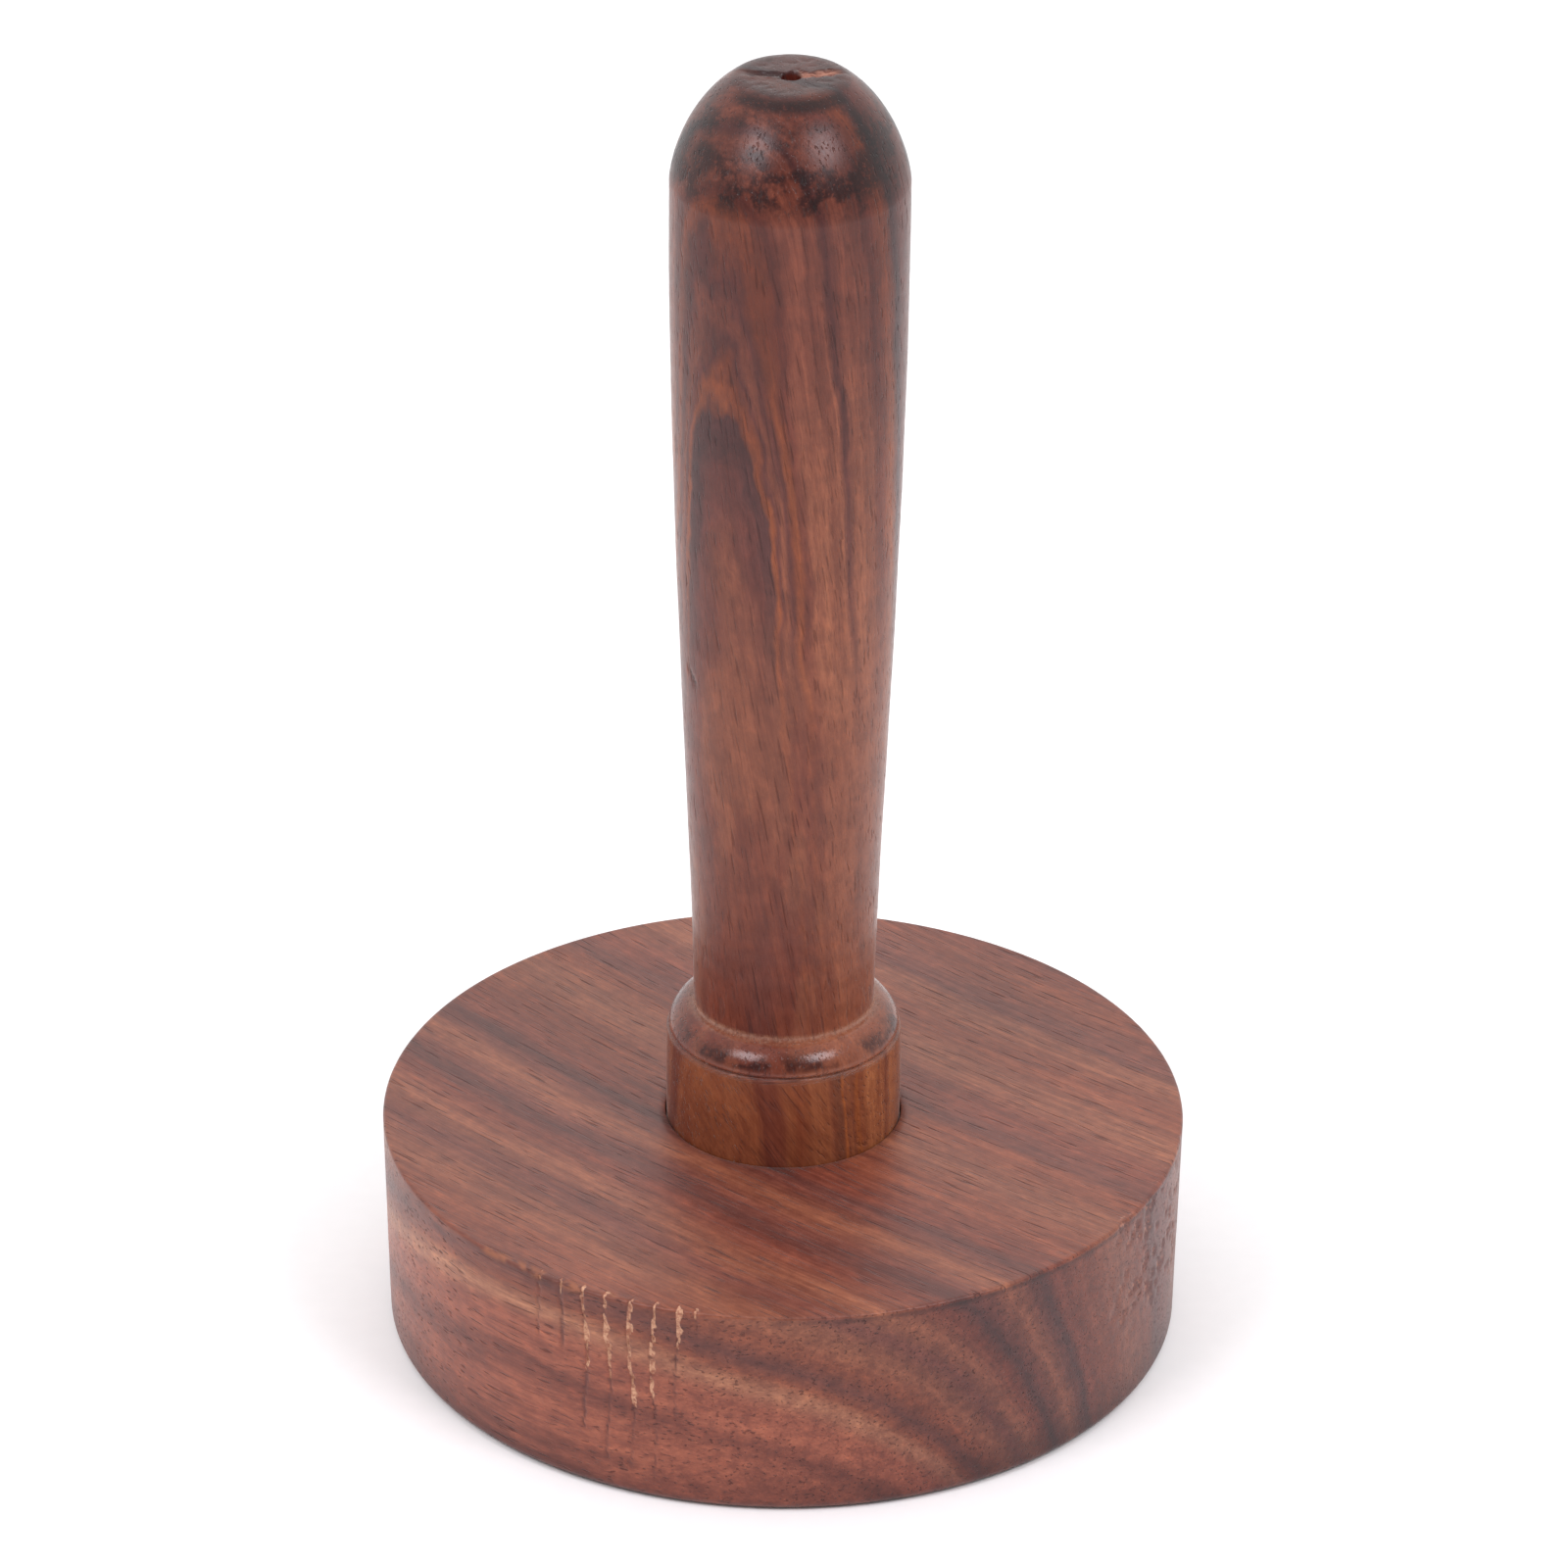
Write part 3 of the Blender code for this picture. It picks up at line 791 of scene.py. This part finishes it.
# The handle's palette, used by its arches and by its lower part
HANDLE_PALE = (0.360, 0.122, 0.056)
HANDLE_TAN = (0.275, 0.085, 0.040)
HANDLE_ORANGE = (0.320, 0.084, 0.022)
HANDLE_RED = (0.200, 0.048, 0.024)
HANDLE_BROWN = (0.150, 0.038, 0.026)
HANDLE_DARK = (0.100, 0.029, 0.025)
STAIN_TINT = (0.17, 0.10, 0.14)
# Painted shadow, drawn near-black in the crack beside the centre hole and along the scratch
CUT_SHADOW_COLOUR = (0.03, 0.010, 0.009)
# Painted shade, drawn as a dark line in the groove under the bead
GROOVE_SHADOW_COLOUR = (0.035, 0.012, 0.010)
DUST_COLOUR = (0.33, 0.16, 0.10)

# Heights where each zone starts and ends
LOWER_PART = (82.0, 116.0)
COLLAR_TOP = (39.5, 40.8)
UPPER_PART = (112.0, 146.0)
DOME = ((154.0, 158.5), (165.0, 168.2))
BEAD = ((39.9, 41.0), (43.6, 45.0))
BEAD_STAIN = ((40.6, 41.6), (42.2, 43.6))
GROOVE = ((39.9, 40.2), (40.35, 40.7))
DUST = ((43.5, 44.0), (44.3, 44.9))
FLAT = (168.2, 168.5)

# The dark arc on the front edge of the flat: radii, distance in front of the axis, and height
FLAT_EDGE = ((6.3, 7.3), (7.7, 9.0))
FLAT_EDGE_FRONT = (-5.5, -2.5)
FLAT_EDGE_LOW = (160.0, 164.0)

# Where the end grain is nearly black: angle in degrees, radius, height and size
DARK_SPOTS = (
    (-52.0, 12.4, 161.5, 4.4),
    (-66.0, 13.0, 159.0, 3.0),
    (47.5, 12.8, 159.8, 4.4),
    (66.0, 12.6, 161.0, 3.2),
)


def dark_spot(n, place, angle, radius, height, size):
    """1 at a point of the surface, fading to 0 at the given distance."""
    turn = math.radians(angle)
    centre = (radius * math.sin(turn), -radius * math.cos(turn), height)
    away = n.vector("DISTANCE", place, centre)
    return n.step(away, 0.35 * size, size, 1.0, 0.0)


def arch_colours():
    """The ring colours of the handle, by the height of the arch's peak."""
    pale, tan, orange = HANDLE_PALE, HANDLE_TAN, HANDLE_ORANGE
    red, brown, dark = HANDLE_RED, HANDLE_BROWN, HANDLE_DARK
    return [
        (10.0, red), (45.0, tan), (56.0, brown), (66.0, brown), (76.0, tan), (85.0, red), (100.0, tan),
        (112.0, tan), (120.0, brown), (127.0, dark), (132.5, dark), (136.5, orange), (140.5, brown),
        (145.0, tan), (150.0, brown), (158.0, orange), (166.0, red), (178.0, pale), (192.0, pale),
        (202.0, tan), (212.0, pale), (222.0, brown), (238.0, pale), (262.0, tan), (284.0, red),
        (310.0, orange), (332.0, dark), (350.0, red), (400.0, tan), (430.0, brown), (480.0, orange),
    ]


def handle_bent(n, place):
    """The point, moved a little so that the figure wanders and ripples."""
    scales, reach = HANDLE_WANDER
    push = wandering(n, place, scales, 2.0, 0.5, reach)
    scales, reach = HANDLE_SHAKE
    shake = wandering(n, place, scales, 3.0, 0.6, reach)
    return n.vector("ADD", n.vector("ADD", place, push), shake)


def handle_arches(n, bent, x, z):
    """Arches on the front left that point up."""
    toward = (math.sin(ARCH_HEADING), -math.cos(ARCH_HEADING), 0.0)
    inward = n.math("SUBTRACT", GRIP_RADIUS, n.vector("DOT_PRODUCT", bent, toward))
    arch = n.math("ADD", n.parts(bent)[2], n.math("MULTIPLY", inward, ARCH_STEEPNESS))
    base = rings(n, arch, arch_colours(), *ARCH_RANGE)
    fine_at = n.join(n.math("MULTIPLY", arch, 0.20), n.math("MULTIPLY", z, 0.05), n.math("MULTIPLY", x, 0.15))
    fine_ring = n.noise(fine_at, 1.0, 5.0, 0.66).outputs[0]
    return tinted(n, n.step(fine_ring, 0.40, 0.62, 0.62, 0.0), base, (0.60, 0.48, 0.50))


def handle_broad(n, bent, x):
    """Broad soft tones of the lower part, paler on the right."""
    tones = [(0.36, HANDLE_BROWN), (0.50, HANDLE_RED), (0.60, HANDLE_TAN)]
    broad = n.ramp(scaled_noise(n, bent, (0.10, 0.10, 0.022), 3.0, 0.55), tones)
    return n.mix(n.step(x, 1.0, 8.5, 0.0, 0.62), broad, HANDLE_PALE)


def flat_edge(n, x, y, z):
    """1 in the dark arc along the front edge of the flat."""
    from_axis = n.vector("DISTANCE", n.join(x, y, 0.0), (0.0, 0.0, 0.0))
    edge = band(n, from_axis, *FLAT_EDGE)
    edge = n.math("MULTIPLY", edge, n.step(y, *FLAT_EDGE_FRONT, 1.0, 0.0))
    return n.math("MULTIPLY", edge, n.step(z, *FLAT_EDGE_LOW))


def handle_stain(n, place, bent, dome, patch):
    """How dark the end grain of the dome and the bead is, where it soaks up more finish."""
    x, y, z = n.parts(place)[:3]
    fleck = n.noise(place, 2.0, 4.0, 0.65).outputs[0]
    stain = n.math("MULTIPLY", dome, n.step(patch, 0.46, 0.59, 0.40, 1.0))
    bead_line = band(n, z, *BEAD_STAIN, 0.25)
    stain = n.math("MAXIMUM", stain, n.math("MULTIPLY", bead_line, n.step(patch, 0.42, 0.58, 0.2, 0.9)))
    for angle, radius, height, size in DARK_SPOTS:
        stain = n.math("MAXIMUM", stain, dark_spot(n, bent, angle, radius, height, size))
    stain = n.math("MAXIMUM", stain, flat_edge(n, x, y, z))
    return n.math("MULTIPLY", stain, n.step(fleck, 0.54, 0.66, 1.0, 0.55))


def handle_marks(n, colour, place, z, chip, patch):
    """The fresh wood of the chip, painted shadow in the crack and the scratch, a painted shade line in the
    groove and the pale dust in the neck's corner.
    """
    cut = n.stored("cut")
    ragged = n.noise(place, 1.8, 4.0, 0.7).outputs[0]
    torn_fibre = scaled_noise(n, place, (0.6, 4.0, 1.0), 4.0, 0.65)
    fresh = n.mix(n.step(torn_fibre, 0.36, 0.62), (0.13, 0.034, 0.020), (0.38, 0.18, 0.125))
    colour = n.mix(n.math("MULTIPLY", chip, 0.85), colour, fresh)
    # Painted shadow: the crack and the scratch are drawn near-black.
    colour = n.mix(n.math("MULTIPLY", cut, 0.85), colour, CUT_SHADOW_COLOUR)
    # Painted shade: a dark line in the shallow groove under the bead, broken up by the patch noise.
    groove = n.math("MULTIPLY", band(n, z, *GROOVE), n.step(patch, 0.4, 0.6, 0.1, 0.5))
    colour = n.mix(groove, colour, GROOVE_SHADOW_COLOUR)
    dust = n.math("MULTIPLY", band(n, z, *DUST), n.step(ragged, 0.35, 0.65, 0.2, 0.7))
    return n.mix(dust, colour, DUST_COLOUR)


def handle_wood():
    """The handle's wood: arches on the front left, soft tones below them and a dark mottled dome."""
    n = Nodes("handle_wood_grain")
    place = n.place()
    x, y, z = n.parts(place)[:3]
    bent = handle_bent(n, place)
    collar = n.step(z, *COLLAR_TOP, 1.0, 0.0)
    fade = n.math("SUBTRACT", n.step(z, *LOWER_PART, 0.78, 0.0), n.math("MULTIPLY", collar, 0.45))
    base = n.mix(fade, handle_arches(n, bent, x, z), handle_broad(n, bent, x))
    lean = n.math("MULTIPLY", z, n.math("MULTIPLY_ADD", collar, COLLAR_EXTRA_LEAN, HANDLE_LEAN))
    colour, fibre, pores = wood_surface(n, (z, n.math("ADD", x, lean), y), base, 0.72, 0.5)
    patch = n.noise(place, 0.24, 4.0, 0.62).outputs[0]
    dome = band(n, z, *DOME, 0.55)
    colour = tinted(n, handle_stain(n, place, bent, dome, patch), colour, STAIN_TINT)
    colour = tinted(n, n.step(z, *UPPER_PART), colour, (0.60, 0.47, 0.52))
    colour = tinted(n, n.step(z, *FLAT, 0.0, 0.8), colour, (0.55, 0.50, 0.60))
    colour = tinted(n, collar, colour, (1.14, 1.22, 1.02))
    chip = n.stored("chip")
    colour = handle_marks(n, colour, place, z, chip, patch)
    smooth = n.math("SUBTRACT", band(n, z, *BEAD), n.math("MULTIPLY", dome, 0.12))
    open_pores = n.math("MULTIPLY", pores, PORE_ROUGHNESS)
    rough_value = n.math("ADD", n.step(fibre, 0.3, 0.7, 0.27, 0.36), open_pores)
    rough_value = n.math("SUBTRACT", rough_value, n.math("MULTIPLY", smooth, 0.13))
    rough_value = n.math("ADD", rough_value, n.math("MULTIPLY", chip, TORN_ROUGHNESS), clamp=True)
    height = wood_relief(n, fibre, pores, 0.22)
    gloss = {"IOR": 1.42, "Sheen_Weight": 0.32, "Sheen_Roughness": 0.18}
    return n.finish(colour, rough_value, height, HANDLE_BUMP, **gloss)


# ---------------------------------------------------------------- plug and screw materials


PLUG_BUMP = 0.08 * MM
SCREW_BUMP = 0.02 * MM


def plug_wood():
    """Pale face grain of the plug, sanded and open-pored."""
    n = Nodes("plug_wood_grain")
    place = n.place()
    rays = scaled_noise(n, place, (0.35, 2.2, 1.0), 4.0, 0.6)
    pores = n.step(n.noise(place, 3.2, 1.0, 0.4).outputs[0], 0.62, 0.72)
    ring = scaled_noise(n, place, (0.9, 0.12, 0.1), 3.0, 0.55)
    tones = [(0.3, (0.20, 0.078, 0.042)), (0.5, (0.36, 0.165, 0.09)), (0.7, (0.27, 0.11, 0.06))]
    colour = tinted(n, n.step(rays, 0.35, 0.65, 0.35, 0.0), n.ramp(ring, tones), (0.6, 0.5, 0.45))
    colour = n.mix(n.math("MULTIPLY", pores, 0.7), colour, (0.07, 0.026, 0.018))
    rough_value = n.math("ADD", n.step(rays, 0.3, 0.7, 0.5, 0.62), n.math("MULTIPLY", pores, 0.2), clamp=True)
    height = n.math("SUBTRACT", n.math("MULTIPLY", rays, 0.4), pores)
    return n.finish(colour, rough_value, height, PLUG_BUMP, IOR=1.5)


def screw_steel():
    """Zinc-plated steel with drawn marks and faint tarnish."""
    n = Nodes("screw_steel_plated")
    place = n.place()
    drawn = scaled_noise(n, place, (3.0, 3.0, 0.5), 4.0, 0.6)
    blotch = n.noise(place, 0.6, 3.0, 0.5).outputs[0]
    colour = n.mix(n.step(blotch, 0.35, 0.7), (0.66, 0.63, 0.57), (0.48, 0.44, 0.37))
    rough_value = n.step(drawn, 0.3, 0.7, 0.24, 0.42)
    return n.finish(colour, rough_value, drawn, SCREW_BUMP, Metallic=1.0)


# ---------------------------------------------------------------- stage, lights, camera


def floor_material():
    """Plain pale paper."""
    n = Nodes("floor_paper")
    place = n.place()
    speck = n.noise(place, 0.4, 2.0, 0.5).outputs[0]
    colour = n.mix(speck, (0.90, 0.90, 0.90), (0.93, 0.93, 0.93))
    return n.finish(colour, FLOOR_ROUGHNESS, speck, FLOOR_BUMP, IOR=FLOOR_IOR)


# Just under the striking face, so that the two never share a plane
FLOOR_GAP = 0.15 * MM
FLOOR_HALF_SIZE = 3.0
FLOOR_BUMP = 0.01 * MM
FLOOR_ROUGHNESS = 0.85
FLOOR_IOR = 1.3


def make_floor():
    """A wide level sheet that belongs to the stage."""
    size, low = FLOOR_HALF_SIZE, -FLOOR_GAP
    mesh = bpy.data.meshes.new("floor")
    corners = [(-size, -size, low), (size, -size, low), (size, size, low), (-size, size, low)]
    mesh.from_pydata(corners, [], [(0, 1, 2, 3)])
    floor = bpy.data.objects.new("floor", mesh)
    bpy.context.scene.collection.objects.link(floor)
    floor.data.materials.append(floor_material())


SOFTBOX_DISTANCE = 0.72
SOFTBOX_SIZE = 0.28
SOFTBOX_COLOUR = (1.0, 0.94, 0.99)
SOFTBOX_HEIGHT_ANGLE = math.radians(43)
SOFTBOX_RADIANCE = (9.0, 9.5)
SOFTBOX_SIDE_ANGLE = math.radians(45)
SOFTBOX_AIM_Z = 0.10
WORLD_BACK = 1.27
WORLD_FRONT = 0.35
WORLD_FADE = (-0.9, 0.25)


def softbox(name, side_angle, radiance, aim):
    """A square soft light at an angle round the object, turned to face it."""
    flat = SOFTBOX_DISTANCE * math.cos(SOFTBOX_HEIGHT_ANGLE)
    spot = Vector(
        (
            flat * math.sin(side_angle),
            -flat * math.cos(side_angle),
            aim.z + SOFTBOX_DISTANCE * math.sin(SOFTBOX_HEIGHT_ANGLE),
        )
    )
    light = bpy.data.lights.new(name, "AREA")
    light.shape = "SQUARE"
    light.size = SOFTBOX_SIZE
    light.color = SOFTBOX_COLOUR
    light.energy = radiance * math.pi * SOFTBOX_SIZE**2
    lamp = bpy.data.objects.new(name, light)
    lamp.location = spot
    lamp.rotation_euler = (spot - aim).to_track_quat("Z", "Y").to_euler()
    bpy.context.scene.collection.objects.link(lamp)


def make_lights():
    """One soft light on each side of the front, and the white surroundings."""
    aim = Vector((0.0, 0.0, SOFTBOX_AIM_Z))
    softbox("softbox_left", -SOFTBOX_SIDE_ANGLE, SOFTBOX_RADIANCE[0], aim)
    softbox("softbox_right", SOFTBOX_SIDE_ANGLE, SOFTBOX_RADIANCE[1], aim)
    bpy.context.scene.world = make_world()


def make_world():
    """White all round, and dimmer in front, where the camera stands."""
    world = bpy.data.worlds.new("studio")
    world.use_nodes = True
    tree = world.node_tree
    coords = tree.nodes.new("ShaderNodeTexCoord")
    axes = tree.nodes.new("ShaderNodeSeparateXYZ")
    fade = tree.nodes.new("ShaderNodeMapRange")
    fade.interpolation_type = "SMOOTHSTEP"
    for socket, value in zip(fade.inputs[1:], (*WORLD_FADE, WORLD_FRONT, WORLD_BACK)):
        socket.default_value = value
    tree.nodes["Background"].inputs["Color"].default_value = (1.0, 1.0, 1.0, 1.0)
    tree.links.new(coords.outputs["Generated"], axes.inputs[0])
    tree.links.new(axes.outputs["Y"], fade.inputs[0])
    tree.links.new(fade.outputs[0], tree.nodes["Background"].inputs["Strength"])
    return world


CAMERA_DISTANCE = 1.1
CAMERA_ELEVATION = math.radians(28.52)
CAMERA_ROLL = math.radians(0.44)
CAMERA_AIM_Z = 73.95 * MM
CAMERA_LENS = 205.85
CAMERA_SENSOR = 36.0
CAMERA_SHIFT = -0.001
CAMERA_CLIP_START = 0.05


def make_camera():
    """A long lens, looking down at the object from the front."""
    e, roll = CAMERA_ELEVATION, CAMERA_ROLL
    forward = Vector((0.0, math.cos(e), -math.sin(e)))
    right, up = Vector((1.0, 0.0, 0.0)), Vector((0.0, math.sin(e), math.cos(e)))
    x_axis = math.cos(roll) * right + math.sin(roll) * up
    y_axis = math.cos(roll) * up - math.sin(roll) * right
    data = bpy.data.cameras.new("camera")
    data.sensor_width = CAMERA_SENSOR
    data.lens = CAMERA_LENS
    data.shift_x = CAMERA_SHIFT
    data.clip_start = CAMERA_CLIP_START
    camera = bpy.data.objects.new("camera", data)
    turn = Matrix((x_axis, y_axis, -forward)).transposed().to_4x4()
    place = Vector((0.0, 0.0, CAMERA_AIM_Z)) - CAMERA_DISTANCE * forward
    camera.matrix_world = Matrix.Translation(place) @ turn
    bpy.context.scene.collection.objects.link(camera)
    bpy.context.scene.camera = camera


def set_view():
    """Colours go to the picture as they are."""
    view = bpy.context.scene.view_settings
    view.view_transform = "Standard"
    view.look = "None"
    view.exposure = 0.0
    view.gamma = 1.0


# ---------------------------------------------------------------- assembly


def main():
    """Loads the frame, lays the turned pieces over it and sets the stage."""
    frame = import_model()
    for piece, node, slot, material in (
        (make_head(), "head_disc", "head_wood", head_wood()),
        (make_handle(), "handle", "handle_wood", handle_wood()),
        (make_plug(), "screw_plug", "plug_wood", plug_wood()),
    ):
        piece.data.materials.append(material)
        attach(piece, "root")
        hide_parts(node)
    screw = frame["nodes"]["wood_screw"]
    steel = screw_steel()
    for material_slot in screw.material_slots:
        material_slot.material = steel
    make_floor()
    make_lights()
    make_camera()
    set_view()


main()
